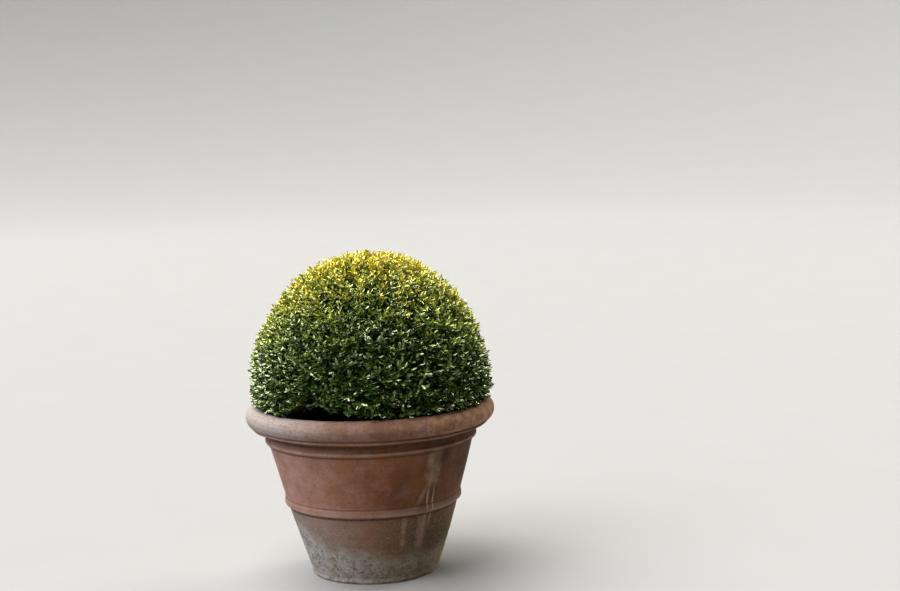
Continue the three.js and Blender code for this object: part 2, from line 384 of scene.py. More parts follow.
def pot_chips(points, rng):
    """How deep each point lies in a chip. Chips sit on the foot, the band, the collar and the rim."""
    depth = np.zeros(len(points))
    for height, radius, count in CHIPPED_EDGES:
        for bearing in rng.uniform(0, 2 * math.pi, count):
            size = rng.uniform(*CHIP_SIZES)
            centre = (radius * math.sin(bearing), -radius * math.cos(bearing), height)
            away = np.linalg.norm((points - centre) * (1, 1, CHIP_FLATNESS), axis=1)
            chip = CHIP_DEPTH * size * smooth_step(size, CHIP_INNER * size, away)
            depth = np.maximum(depth, chip)
    return depth


def pot_relief(points, rng):
    """How far each point of the thrown clay stands out: rings, dents, grain and chips."""
    height = points[:, 2]
    sway = rough_noise(points, RING_SWAY_SIZE, 3)
    rings = sum(share * np.sin(height * turns + swayed * sway) for turns, swayed, share in THROWING_RINGS)
    dents = rough_noise(points, DENT_SIZE, 4)
    grain = grained(points, CLAY_GRAINS)
    relief = RING_DEPTH * rings + DENT_DEPTH * dents + GRAIN_DEPTH * grain
    return relief - pot_chips(points, rng)


def pot_mesh():
    """The pot's outline turned round, with the relief on its outside, but not on what it stands on."""
    underside = 0.001
    rng = np.random.default_rng(POT_SEED)
    outside = outline_steps(pot_outside(), OUTLINE_STEP, OUTLINE_WEAR)
    profile = np.concatenate([outside, pot_inside()])
    points = turned_points(profile, POT_COLUMNS)
    along = np.roll(profile, -1, axis=0) - np.roll(profile, 1, axis=0)
    outward = unit(np.stack([along[:, 1], -along[:, 0]], axis=1))
    shaped = np.arange(len(profile)) < len(outside)
    shaped &= profile[:, 1] > underside
    amount = pot_relief(points, rng).reshape(len(profile), POT_COLUMNS) * shaped[:, None]
    bearing = round_turn(POT_COLUMNS)
    away = np.stack([np.sin(bearing), -np.cos(bearing)], axis=1)
    shift = np.zeros((len(profile), POT_COLUMNS, 3))
    shift[:, :, :2] = (amount * outward[:, :1])[:, :, None] * away[None]
    shift[:, :, 2] = amount * outward[:, 1:]
    points = points + shift.reshape(-1, 3)
    return mesh_of("terracotta pot", points, grid_faces(len(profile), POT_COLUMNS, True))


# The soil and the stem

def soil_mesh():
    """The soil as it fills the pot, crumbly on top but flat where the stem stands."""
    low = FLOOR_THICKNESS + FIT_GAP
    top_radii = np.linspace(inner_radius(SOIL_EDGE) - FIT_GAP, 0, SOIL_ROWS)
    mound = smooth_step(MOUTH_RADIUS, SOIL_CROWN_RADIUS, top_radii)
    top = np.stack([top_radii, SOIL_EDGE + (SOIL_CROWN - SOIL_EDGE) * mound], axis=1)
    base = np.array(((0, low), (inner_radius(low) - FIT_GAP, low)))
    profile = np.concatenate([base, top])
    points = turned_points(profile, SOIL_COLUMNS)
    radius = np.hypot(points[:, 0], points[:, 1])
    on_top = points[:, 2] > SOIL_EDGE - 0.001
    loose = (radius < MOUTH_RADIUS - SOIL_SHRINK) & on_top
    crumbs = ridged(points, CRUMBS)
    points[:, 2] += loose * smooth_step(*CRUMBLY_FROM, radius) * CRUMB_HEIGHT * (crumbs - 0.5)
    mesh = mesh_of("potting soil", points, grid_faces(len(profile), SOIL_COLUMNS, False))
    merge_poles(mesh)
    return mesh


def merge_poles(mesh):
    """Joins the points that lie together on the axis, and drops the faces that this closes up."""
    edit = bmesh.new()
    edit.from_mesh(mesh)
    bmesh.ops.remove_doubles(edit, verts=edit.verts, dist=1e-6)
    bmesh.ops.recalc_face_normals(edit, faces=edit.faces)
    edit.to_mesh(mesh)
    edit.free()


def stem_mesh():
    """The short stem: a flared foot, a taper, a slight lean, ridged bark and two flat ends."""
    rises = STEM_HEIGHT * np.linspace(0, 1, STEM_ROWS) ** STEM_ROWS_LOW
    rise, angle = np.meshgrid(rises, round_turn(STEM_COLUMNS), indexing="ij")
    flare = FLARE_REACH * np.exp(-rise / FLARE_FADE) * (1 + FLARE_WAVE * np.cos(FLARE_LOBES * angle))
    radius = STEM_FOOT_RADIUS + (STEM_TIP_RADIUS - STEM_FOOT_RADIUS) * rise / STEM_HEIGHT + flare
    around = np.stack([np.cos(angle), np.sin(angle), rise], axis=2).reshape(-1, 3) * BARK_STRETCH
    radius = radius - BARK_DEPTH * ridged(around, BARK_RIDGES).reshape(radius.shape)
    lean = STEM_LEAN * (rise / STEM_HEIGHT) ** 2
    points = np.stack([lean + radius * np.cos(angle), radius * np.sin(angle), STEM_FOOT + rise], axis=2)
    points = points.reshape(-1, 3)
    faces = grid_faces(STEM_ROWS, STEM_COLUMNS, False)
    foot = list(range(STEM_COLUMNS))[::-1]
    tip = list(range(len(points) - STEM_COLUMNS, len(points)))
    mesh = mesh_of("main stem", points, faces.tolist() + [foot, tip])
    for end in mesh.polygons[len(faces) :]:
        end.use_smooth = False
    return mesh


# The space that the foliage keeps to

def dome_radius(height):
    drop = np.clip((BALL_EQUATOR - height) / (BALL_EQUATOR - SKIRT_BOTTOM), 0, None)
    share = np.clip((height - BALL_EQUATOR) / BALL_RISE, 0, 1)
    dome = BALL_RADIUS * (1 - share**BALL_SQUARENESS) ** (1 / BALL_SQUARENESS)
    return dome - SKIRT_TUCK * drop**2


def dome_distance(direction):
    """How far the dome is from the fork along each direction, found by halving."""
    halvings = 24
    near = np.zeros(len(direction))
    far = np.full(len(direction), 2 * BALL_RADIUS)
    flat = np.hypot(direction[:, 0], direction[:, 1])
    for _ in range(halvings):
        middle = (near + far) / 2
        height = FORK[2] + direction[:, 2] * middle
        inside = (height < BALL_EQUATOR + BALL_RISE) & (height > SKIRT_BOTTOM)
        inside &= flat * middle < dome_radius(height)
        near = np.where(inside, middle, near)
        far = np.where(inside, far, middle)
    return near


def hem_height(points):
    """The lowest that foliage hangs: clear of the roll and the soil, and uneven round the pot."""
    radius = np.hypot(points[:, 0], points[:, 1])
    bearing = np.arctan2(points[:, 0], -points[:, 1])
    across = np.clip(np.abs(radius - RIM_RING) / RIM_TUBE, 0, 1)
    roll = RIM_HEIGHT + RIM_TUBE * np.sqrt(1 - across**2)
    ground = np.where(radius < MOUTH_RADIUS, SOIL_CROWN + SOIL_CLEARANCE, roll)
    gap = np.exp(-(((bearing - HEM_GAP_BEARING) / HEM_GAP_WIDTH) ** 2))
    ring = np.stack([np.sin(bearing), np.cos(bearing), 0 * bearing], axis=1)
    ragged = HEM_RAGGED * (1 + rough_noise(ring, HEM_RAGGED_SIZE, 41))
    gap *= 1 + HEM_GAP_RAGGED * rough_noise(ring, HEM_GAP_RAGGED_SIZE, 42)
    outer = smooth_step(*HEM_RADII, radius)
    return ground + CLEARANCE + outer * (HEM_GAP_LIFT * gap + ragged)


def stays_inside(points, slack):
    """Which points are above the hem and in the dome, past which they may reach by the slack."""
    radius = np.hypot(points[:, 0], points[:, 1])
    height = points[:, 2]
    below_top = height <= BALL_EQUATOR + BALL_RISE + min(slack, TOP_OVERHANG)
    return (radius <= dome_radius(height) + slack) & (height >= hem_height(points)) & below_top


# How the boughs, twigs and leaves grow

def limb_tips(level, rng):
    """One level's tips, spread over the dome by the golden angle and moved about at random."""
    least_flat = 0.08
    order = np.arange(level["count"])
    rise = level["lowest"] + (1 - level["lowest"]) * (order + 0.5) / level["count"]
    rise = np.clip(rise + rng.normal(0, 1, len(order)) * level["scatter"], level["lowest"], 1)
    flat = np.sqrt(1 - rise**2)
    turn = rng.normal(0, 1, len(order)) * level["scatter"] / np.maximum(flat, least_flat)
    bearing = GOLDEN_ANGLE * order + turn
    direction = np.stack([flat * np.cos(bearing), flat * np.sin(bearing), rise], axis=1)
    reach = level["reach"] * (1 - level["ragged"] * rng.random(len(order)))
    return FORK + direction * (dome_distance(direction) * reach)[:, None]


def nearest(springs, tips):
    """For each tip, the number of the nearest spring."""
    batch = 1000
    found = np.empty(len(tips), int)
    for start in range(0, len(tips), batch):
        some = tips[start : start + batch]
        away = np.linalg.norm(some[:, None] - springs[None], axis=2)
        found[start : start + batch] = away.argmin(axis=1)
    return found


def sideways(direction):
    """A unit vector across each direction."""
    steep = np.abs(direction[:, 2:]) > 0.9
    helper = np.where(steep, (1.0, 0.0, 0.0), UP)
    return unit(np.cross(direction, helper))


def grow_limbs(rng):
    """The boughs, branches and twigs: each level's stations and radii, and the last level's tips."""
    springs = FORK[None]
    sets = []
    for level, radii in zip(LIMB_LEVELS, LIMB_RADII):
        tips = limb_tips(level, rng)
        tips = tips[stays_inside(tips, 0.0)]
        roots = springs[nearest(springs, tips)]
        sway = rng.normal(0, LIMB_SWAY, tips.shape) * np.linalg.norm(tips - roots, axis=1)[:, None]
        stations = np.stack([roots, (roots + tips) / 2 + sway, tips], axis=1)
        sets.append((stations, np.linspace(*radii, 3)))
        springs = tips
    return sets, springs


def grow_shoots(level, twig_tips, rng):
    """The leafy shoots, which turn up towards the light: their stations, and each one's twig."""
    tips = limb_tips(level, rng)
    twig = nearest(twig_tips, tips)
    outward = unit(tips - SHOOT_CENTRE)
    depth = rng.normal(0, SPRAY_DEPTH, len(twig_tips))[twig]
    depth = depth + CLIPPING_DEPTH * rough_noise(tips, CLIPPING_SIZE, 61)
    tips = tips + outward * depth[:, None]
    lift = SHOOT_DROOP + (SHOOT_LIFT - SHOOT_DROOP) * smooth_step(*SHOOT_LIFT_HEIGHTS, tips[:, 2])
    direction = unit(outward + UP * lift[:, None] + rng.normal(0, SHOOT_SCATTER, tips.shape))
    heels = tips - direction * LEAF_STEP * (LEAF_PAIRS - 1)
    kept = stays_inside(tips, LEAF_OVERHANG)
    return np.stack([twig_tips[twig], heels, tips], axis=1)[kept], twig[kept]


def place_leaves(roots, direction, facing, grown, slack):
    """Leaves that stay in the space: which ones do, and how each one is turned."""
    side = unit(np.cross(direction, facing))
    face = np.cross(side, direction)
    length = (LEAF_LENGTH * grown)[:, None]
    across = side * (LEAF_WIDTH * grown)[:, None] / 2
    middle = roots + direction * length / 2
    kept = stays_inside(roots + direction * length, slack)
    kept &= stays_inside(middle + across, slack) & stays_inside(middle - across, slack)
    return kept, np.stack([side, direction, face], axis=2)


def shoot_leaves(stations, rng):
    """Crossed pairs of leaves down each shoot from its tip, the young ones small and upright."""
    heels, tips = stations[:, 1], stations[:, 2]
    direction = unit(tips - heels)
    across = sideways(direction)
    over = np.cross(direction, across)
    twist = rng.uniform(0, 2 * math.pi, len(tips))
    crown = smooth_step(*CROWN_HEIGHTS, tips[:, 2])
    closed, opens = LEAF_OPENING
    found = []
    for pair in range(LEAF_PAIRS):
        age = pair / (LEAF_PAIRS - 1)
        for half in (0, math.pi):
            angle = twist + half + pair * math.pi / 2 + rng.normal(0, LEAF_TWIST, len(tips))
            out = across * np.cos(angle)[:, None] + over * np.sin(angle)[:, None]
            opening = closed + opens * age + rng.normal(0, LEAF_OPENING_SCATTER, len(tips))
            opening = np.radians(opening)[:, None]
            along = direction * np.cos(opening) + out * np.sin(opening)
            along[:, 2] *= LEAF_FLATNESS + CROWN_UPRIGHTNESS * crown
            along = unit(along + UP * LEAF_RISE)
            upward = UP * (FACING_UP - CROWN_UPRIGHTNESS * crown)[:, None]
            facing = unit(FACING_OUT * direction + upward + rng.normal(0, FACING_SCATTER, tips.shape))
            grown = YOUNGEST_LEAF + (1 - YOUNGEST_LEAF) * min(1, LEAF_GROWTH * age)
            grown = grown * rng.uniform(*LEAF_SIZES, len(tips)) * (1 - CROWN_YOUTH * crown)
            start = tips - direction * (LEAF_FIRST + LEAF_STEP * pair)
            kept, turn = place_leaves(start, along, facing, grown, LEAF_OVERHANG)
            found.append((start, turn, grown, np.full(len(tips), age), kept))
    start, turn, grown, age, kept = (np.concatenate(part) for part in zip(*found))
    shoot = np.tile(np.arange(len(tips)), 2 * LEAF_PAIRS)
    return start[kept], turn[kept], grown[kept], age[kept], shoot[kept]


def old_leaves(stations, rng):
    """The older leaves inside, all round each twig."""
    roots = np.repeat(stations[:, 0], OLD_LEAVES_PER_TWIG, axis=0)
    tips = np.repeat(stations[:, 2], OLD_LEAVES_PER_TWIG, axis=0)
    start = roots + (tips - roots) * rng.uniform(OLD_LEAF_FROM, 1, (len(roots), 1))
    direction = unit(unit(tips - roots) + rng.normal(0, OLD_LEAF_SCATTER, roots.shape))
    facing = unit(rng.normal(0, 1, roots.shape) + OLD_FACING_UP * UP)
    grown = rng.uniform(*OLD_LEAF_SIZES, len(roots))
    kept, turn = place_leaves(start, direction, facing, grown, -OLD_LEAF_DEPTH)
    return start[kept], turn[kept], grown[kept]


# The tints of the leaves, from the sunlit top down into the shade inside. A spray takes the first tint
# whose step its brightness is above. The two youngest are cupped leaves, the older ones arched.
TINTS = {
    "gold": {
        "upper": colour(224, 207, 50), "deeper": colour(142, 131, 10), "under": colour(206, 192, 70),
        "gloss": (1.0, 1.0, 0.38, 1.0), "roughness": 0.30, "blade": "cupped",
    },
    "lime": {
        "upper": colour(164, 170, 40), "deeper": colour(72, 82, 5), "under": colour(160, 166, 62),
        "gloss": (1.0, 1.0, 0.42, 1.0), "roughness": 0.28, "blade": "cupped",
    },
    "leaf": {
        "upper": colour(114, 134, 36), "deeper": colour(24, 46, 3), "under": colour(126, 142, 62),
        "gloss": (0.94, 1.0, 0.36, 1.0), "roughness": 0.24, "blade": "arched",
    },
    "deep": {
        "upper": colour(66, 95, 34), "deeper": colour(3, 17, 2), "under": colour(80, 102, 52),
        "gloss": (0.9, 1.0, 0.58, 1.0), "roughness": 0.22, "blade": "arched",
    },
    "shade": {
        "upper": colour(14, 32, 8), "deeper": colour(2, 9, 1), "under": colour(22, 38, 12),
        "gloss": (0.86, 1.0, 0.74, 1.0), "roughness": 0.34, "blade": "arched",
    },
}
TINT_STEPS = (-0.63, -0.44, -0.14, 0.22)
DEEP = list(TINTS).index("deep")
SHADE = list(TINTS).index("shade")
# The inner shoots' leaves are this many tints darker, as painted shade inside the ball.
INNER_DARKER = 2
LEAF_WAX = 1.74

# A shoot's brightness is its height as a share of the dome's, less or more by these: the front lies in
# shade, the two sides catch some sun, and each spray, each patch of sprays and each shoot differs, the
# shoots in the crown most. A leaf darkens with age, and less so in the sunny crown.
SHADY_FRONT = 0.36
SUNNY_RIGHT = 0.14
SUNNY_LEFT = 0.07
SPRAY_VARIES = 0.07
PATCH_VARIES = 0.10
PATCH_SIZE = 0.09
SHOOT_VARIES = 0.065
CROWN_VARIES_BY = 0.055
MIXED_CROWN = (0.3, 0.6)
AGE_DARKENS = 0.60
CROWN_SPARED = 0.22
SUNNY_CROWN = (0.35, 0.75)


def tint_numbers(tips, shoot, age, twig, rng):
    """The tint of each leaf, dealt out by spray: gold above and towards the sun, older leaves darker."""
    across, back = tips[:, 0] / BALL_RADIUS, tips[:, 1] / BALL_RADIUS
    sunny = SHADY_FRONT * np.minimum(back, 0)
    sunny = sunny + SUNNY_RIGHT * np.maximum(across, 0) - SUNNY_LEFT * np.minimum(across, 0)
    height = (tips[:, 2] - BALL_EQUATOR) / BALL_RISE
    spray = rng.normal(0, SPRAY_VARIES, twig.max() + 1)[twig]
    patch = PATCH_VARIES * rough_noise(tips, PATCH_SIZE, 51)
    varies = SHOOT_VARIES + CROWN_VARIES_BY * smooth_step(*MIXED_CROWN, height)
    own = rng.normal(0, 1, len(tips)) * varies
    brightness = height + sunny + spray + patch + own
    fading = AGE_DARKENS - CROWN_SPARED * smooth_step(*SUNNY_CROWN, height + sunny)
    brightness = brightness[shoot] - fading[shoot] * age
    return np.digitize(-brightness, TINT_STEPS)


def tinted_leaves(shoots, rng):
    """The leaves on a set of shoots: each one's place, turn, size, tint and age."""
    stations, twig = shoots
    start, turn, grown, age, shoot = shoot_leaves(stations, rng)
    return start, turn, grown, tint_numbers(stations[:, 2], shoot, age, twig, rng), age


def grow_leaves(twigs, outer, inner, rng):
    """Every leaf's place, turn, size and tint: on the outer shoots, the inner ones and the old twigs."""
    *on_outer, tint, age = tinted_leaves(outer, rng)
    on_outer.append(np.minimum(tint, np.where(age == 1, SHADE, DEEP)))
    *on_inner, tint, _ = tinted_leaves(inner, rng)
    on_inner.append(np.clip(tint + INNER_DARKER, DEEP, SHADE))
    on_twigs = list(old_leaves(twigs, rng))
    on_twigs.append(np.full(len(on_twigs[0]), SHADE))
    return [np.concatenate(part) for part in zip(on_outer, on_inner, on_twigs)]


# Node trees

def add_node(tree, kind, inputs=None, **settings):
    """A node with its settings, and its inputs given as numbers, colours or other nodes' outputs."""
    node = tree.nodes.new(kind)
    for key, value in settings.items():
        setattr(node, key, value)
    for key, value in (inputs or {}).items():
        if isinstance(value, bpy.types.NodeSocket):
            tree.links.new(value, node.inputs[key])
        else:
            node.inputs[key].default_value = value
    return node


def maths(tree, operation, first, second=0.0):
    return add_node(tree, "ShaderNodeMath", {0: first, 1: second}, operation=operation).outputs[0]


def times(tree, first, second):
    return maths(tree, "MULTIPLY", first, second)


def swing(tree, pattern, size):
    """A pattern from 0 to 1 as a shift up or down, size from end to end."""
    return times(tree, maths(tree, "SUBTRACT", pattern, 0.5), size)


def vector_maths(tree, operation, inputs, output=0):
    return add_node(tree, "ShaderNodeVectorMath", inputs, operation=operation).outputs[output]


def dot(tree, first, second):
    return vector_maths(tree, "DOT_PRODUCT", {0: first, 1: second}, "Value")


def scaled(tree, vector, size):
    return vector_maths(tree, "SCALE", {0: vector, "Scale": size})


def noise(tree, vector, scale, detail=3.0, roughness=0.55):
    inputs = {"Vector": vector, "Scale": scale, "Detail": detail, "Roughness": roughness}
    return add_node(tree, "ShaderNodeTexNoise", inputs).outputs[0]


def own_value(tree, name, kind):
    """A value that each point of the starting mesh carries."""
    return add_node(tree, "GeometryNodeInputNamedAttribute", {"Name": name}, data_type=kind).outputs[0]


def new_tree(name, inputs, output):
    """A Geometry Nodes tree with named inputs, each of the kind given, and one output."""
    tree = bpy.data.node_groups.new(name, "GeometryNodeTree")
    for title, kind in inputs.items():
        tree.interface.new_socket(title, in_out="INPUT", socket_type="NodeSocket" + kind)
    tree.interface.new_socket(output, in_out="OUTPUT", socket_type="NodeSocketGeometry")
    return tree, tree.nodes.new("NodeGroupInput").outputs


def end_tree(tree, geometry, finish):
    """Realizes what the tree has made and gives it its finish."""
    real = add_node(tree, "GeometryNodeRealizeInstances", {"Geometry": geometry})
    finished = add_node(tree, "GeometryNodeSetMaterial", {"Geometry": real.outputs[0], "Material": finish})
    tree.links.new(finished.outputs[0], tree.nodes.new("NodeGroupOutput").inputs[0])


def limb_tree():
    """Closed tubes along lines of a given thickness, with the bark's ridges where there is relief."""
    inputs = {"Lines": "Geometry", "Sides": "Int", "Step": "Float", "Relief": "Float", "Finish": "Material"}
    tree, given = new_tree("limbs along lines", inputs, "Limbs")
    curve = add_node(tree, "GeometryNodeMeshToCurve", {"Mesh": given["Lines"]})
    steps = {"Curve": curve.outputs[0], "Length": given["Step"]}
    stepped = add_node(tree, "GeometryNodeResampleCurve", steps, mode="LENGTH")
    ring = add_node(tree, "GeometryNodeCurvePrimitiveCircle", {"Resolution": given["Sides"], "Radius": 1.0})
    tube = {"Curve": stepped.outputs[0], "Profile Curve": ring.outputs["Curve"], "Fill Caps": True}
    tube["Scale"] = own_value(tree, "thickness", "FLOAT")
    tube = add_node(tree, "GeometryNodeCurveToMesh", tube)
    ridges = noise(tree, add_node(tree, "GeometryNodeInputPosition").outputs[0], BOUGH_RIDGES)
    normal = add_node(tree, "GeometryNodeInputNormal").outputs[0]
    push = scaled(tree, normal, swing(tree, ridges, given["Relief"]))
    rough = add_node(tree, "GeometryNodeSetPosition", {"Geometry": tube.outputs[0], "Offset": push})
    end_tree(tree, rough.outputs[0], given["Finish"])
    return tree


def leaf_tree():
    """A leaf on each point, turned and sized by the point's own values."""
    inputs = {"Shoots": "Geometry", "Leaf": "Object", "Length": "Float", "Width": "Float"}
    tree, given = new_tree("leaves on shoots", inputs | {"Finish": "Material"}, "Leaves")
    blade = add_node(tree, "GeometryNodeObjectInfo", {"Object": given["Leaf"]})
    sizes = {"X": given["Width"], "Y": given["Length"], "Z": given["Width"]}
    full = add_node(tree, "ShaderNodeCombineXYZ", sizes).outputs[0]
    leaves = {"Points": given["Shoots"], "Instance": blade.outputs["Geometry"]}
    leaves["Rotation"] = own_value(tree, "turn", "QUATERNION")
    leaves["Scale"] = scaled(tree, full, own_value(tree, "grown", "FLOAT"))
    end_tree(tree, add_node(tree, "GeometryNodeInstanceOnPoints", leaves).outputs[0], given["Finish"])
    return tree


def grown_mesh(name, tree, start, values, spare):
    """The plain mesh that a tree makes of a starting mesh, without the attributes that it no longer needs."""
    holder = new_object(name, start)
    modifier = holder.modifiers.new("growth", "NODES")
    modifier.node_group = tree
    for item in tree.interface.items_tree:
        if item.name in values:
            modifier[item.identifier] = values[item.name]
    evaluated = holder.evaluated_get(bpy.context.evaluated_depsgraph_get())
    mesh = bpy.data.meshes.new_from_object(evaluated)
    mesh.name = name
    bpy.data.objects.remove(holder)
    bpy.data.meshes.remove(start)
    for attribute in spare:
        if attribute in mesh.attributes:
            mesh.attributes.remove(mesh.attributes[attribute])
    return mesh


# What the trees start from

def give_values(mesh, name, kind, values, domain="POINT"):
    """Gives each point or edge of a mesh a value of its own."""
    mesh.attributes.new(name, kind, domain).data.foreach_set("value", values)


def line_mesh(name, sets):
    """Lines through the stations of each set of limbs, with the limb's thickness at each point."""
    points = np.concatenate([stations.reshape(-1, 3) for stations, radii in sets])
    thickness = np.concatenate([np.tile(radii, len(stations)) for stations, radii in sets])
    edges = []
    start = 0
    for stations, _ in sets:
        count, steps = stations.shape[:2]
        first = start + np.arange(count)[:, None] * steps + np.arange(steps - 1)
        edges += np.stack([first, first + 1], axis=2).reshape(-1, 2).tolist()
        start += count * steps
    mesh = bpy.data.meshes.new(name)
    mesh.from_pydata(points.tolist(), edges, [])
    give_values(mesh, "thickness", "FLOAT", thickness)
    return mesh


def quaternions(turn):
    """Rotation matrices as w, x, y, z."""
    signs = ((1, 1, 1), (1, -1, -1), (-1, 1, -1), (-1, -1, 1))
    squares = [1 + a * turn[:, 0, 0] + b * turn[:, 1, 1] + c * turn[:, 2, 2] for a, b, c in signs]
    w, x, y, z = (np.sqrt(np.maximum(0, square)) / 2 for square in squares)
    x = np.copysign(x, turn[:, 2, 1] - turn[:, 1, 2])
    y = np.copysign(y, turn[:, 0, 2] - turn[:, 2, 0])
    z = np.copysign(z, turn[:, 1, 0] - turn[:, 0, 1])
    return np.stack([w, x, y, z], axis=1)


def leaf_points(name, start, turn, grown):
    """A point for each leaf, which carries its turn and its size."""
    points = bpy.data.meshes.new(name)
    points.from_pydata(start.tolist(), [], [])
    give_values(points, "turn", "QUATERNION", quaternions(turn).ravel())
    give_values(points, "grown", "FLOAT", grown)
    return points


def leaf_blade(name, fold, droop, creased):
    """One leaf of unit size, an oval of eight faces: bent along its rib, up where the fold is above 0,
    and either sharply creased there or round, with its tip turned down by droop."""
    along = (0, 0.2, 0.52, 0.82, 1)
    half_width = (0, 0.33, 0.5, 0.33, 0)
    rib = [(0, share, -droop * share**2) for share in along]
    left = [(-half_width[i], along[i], rib[i][2] + fold * half_width[i]) for i in (1, 2, 3)]
    right = [(-x, y, z) for x, y, z in left]
    faces = [(0, 1, 5), (1, 2, 6, 5), (2, 3, 7, 6), (3, 4, 7)]
    faces += [(1, 0, 8), (2, 1, 8, 9), (3, 2, 9, 10), (4, 3, 10)]
    mesh = mesh_of(name, rib + left + right, faces)
    give_values(mesh, "margin", "FLOAT", [0.0, 0.0, 0.0, 0.1, 0.7] + [1.0] * 6)
    sharp = [creased and max(edge.vertices) <= 4 for edge in mesh.edges]
    give_values(mesh, "sharp_edge", "BOOLEAN", sharp, "EDGE")
    return new_object(name, mesh)


# Materials

# The runs of limy water that have dried on the pot, each between two heights.
DRIPS = (
    {"bearing": 35, "width": 0.0044, "slant": 0.0, "low": 0.110, "high": 0.262, "share": 0.95},
    {"bearing": 39.5, "width": 0.0036, "slant": 0.0, "low": 0.115, "high": 0.262, "share": 0.9},
    {"bearing": 31.5, "width": 0.0100, "slant": -0.5, "low": 0.170, "high": 0.275, "share": 0.42},
    {"bearing": 20, "width": 0.0090, "slant": 0.0, "low": 0.075, "high": 0.180, "share": 0.5},
    {"bearing": 34, "width": 0.0170, "slant": 0.0, "low": 0.060, "high": 0.185, "share": 0.45},
    {"bearing": 37, "width": 0.0300, "slant": 0.0, "low": 0.215, "high": 0.352, "share": 0.58},
)

# Rings round the pot, each with its lowest, middle and highest level: the band, the moss, the edges of
# the band, the collar and the bead, which are made pale, partly as wear and partly as a painted
# highlight, and the painted shade in the corners beside them, with its share.
BAND_RING = (0.168, 0.182, 0.198)
MOSS_RING = (0.06, 0.11, 0.168)
WORN_AND_LIT_RINGS = ((0.170, 0.176, 0.184), (0.326, 0.3305, 0.335), (0.3575, 0.361, 0.3645))
SHADED_RINGS = (
    (0.332, 0.348, 0.3575, 0.9),
    (0.163, 0.1695, 0.1725, 0.9),
    (0.1895, 0.193, 0.1965, 0.6),
    (0.316, 0.322, 0.326, 0.75),
    (0.348, 0.3535, 0.358, 0.9),
    (0.3645, 0.3675, 0.371, 0.9),
)

# Between which two heights each kind of weathering comes in, the first being where it is least.
DUST_FROM = (0.190, 0.160)
LIME_FROM = (0.10, 0.055)
ALGAE_FROM = (0.12, 0.04)
LICHEN_FROM = (0.05, 0.01)
MOTTLES_FROM = (0.12, 0.05)
SPOTS_FROM = (0.13, 0.05)
SALT_FROM = (0.20, 0.14)
RIM_FROM = (0.366, 0.372)
PITS_FROM = (0.395, 0.402)

# How unevenly the dust and the lime end, and how much higher the lime reaches on the left, in metres.
DUST_WAVE = 0.05
LIME_WAVE = 0.13
LIME_GRAIN = 0.05
LIME_RISE = 0.05

# Sides of the pot: each one's bearing from the front, and the cosines of the angles from it at which its
# weathering comes in and is at its full. The left side's share carries painted light as well as bloom,
# and the right side's share carries painted shade as well as weathering.
LIT_AND_BLOOMED_SIDE = (math.radians(-80), 0.05, 0.98)
SHADED_SIDE = (math.radians(85), 0.05, 0.88)
LICHEN_SIDE = (math.radians(40), 0.6, 0.9)
MOSS_SIDE = (math.radians(66), 0.965, 0.995)


def new_material(name, roughness, specular):
    """A material, its tree and its shader."""
    material = bpy.data.materials.new(name)
    material.use_nodes = True
    tree = material.node_tree
    shader = next(node for node in tree.nodes if node.type == "BSDF_PRINCIPLED")
    shader.inputs["Roughness"].default_value = roughness
    shader.inputs["Specular IOR Level"].default_value = specular
    return material, tree, shader


def mixed(tree, share, first, second, blend="MIX"):
    """The second colour over the first, by a share from 0 to 1."""
    inputs = {0: share, 6: first, 7: second}
    return add_node(tree, "ShaderNodeMix", inputs, data_type="RGBA", blend_type=blend).outputs[2]


def between(tree, value, low, high, least=0.0, most=1.0):
    """Runs smoothly from least to most as the value goes from low to high."""
    inputs = {"Value": value, "From Min": low, "From Max": high, "To Min": least, "To Max": most}
    return add_node(tree, "ShaderNodeMapRange", inputs, interpolation_type="SMOOTHSTEP").outputs[0]


def place(tree, scale=(1, 1, 1)):
    """The piece's own place, stretched by a scale."""
    where = add_node(tree, "ShaderNodeTexCoord").outputs["Object"]
    return add_node(tree, "ShaderNodeMapping", {"Vector": where, "Scale": scale}).outputs[0]


def bump(tree, shader, height, distance, strength=1.0):
    node = add_node(tree, "ShaderNodeBump", {"Height": height, "Distance": distance, "Strength": strength})
    tree.links.new(node.outputs[0], shader.inputs["Normal"])


def facing_share(tree, bearing, from_cosine, to_cosine):
    """A share that grows towards one side of the pot, given by its bearing from the front."""
    where = add_node(tree, "ShaderNodeTexCoord").outputs["Object"]
    away = vector_maths(tree, "NORMALIZE", {0: vector_maths(tree, "MULTIPLY", {0: where, 1: (1, 1, 0)})})
    cosine = dot(tree, away, (math.sin(bearing), -math.cos(bearing), 0))
    return between(tree, cosine, from_cosine, to_cosine)


def ring_share(tree, height, low, middle, high):
    """A share that is 1 on a ring round the pot at the middle height and 0 below low and above high."""
    return times(tree, between(tree, height, low, middle), between(tree, height, high, middle))


def clay_patterns(tree):
    """What the layers of the clay's weathering follow: places, patterns from 0 to 1, and two sides."""
    where = place(tree)
    height = add_node(tree, "ShaderNodeSeparateXYZ", {0: where}).outputs[2]
    patches = noise(tree, where, 23, 5, 0.65)
    return SimpleNamespace(
        where=where,
        height=height,
        wavy=maths(tree, "ADD", height, swing(tree, patches, DUST_WAVE)),
        broad=noise(tree, where, 7, 4),
        patches=patches,
        wander=noise(tree, where, 45, 3),
        blotches=noise(tree, where, 52, 5, 0.7),
        stains=noise(tree, where, 85, 4, 0.7),
        fine=noise(tree, where, 160, 4, 0.6),
        lines=noise(tree, place(tree, (9, 9, 170)), 1, 4, 0.6),
        runs=noise(tree, place(tree, (60, 60, 6)), 1, 4, 0.62),
        pitted=noise(tree, place(tree, (110, 110, 330)), 1, 3, 0.6),
        left=facing_share(tree, *LIT_AND_BLOOMED_SIDE),
        right=facing_share(tree, *SHADED_SIDE),
    )


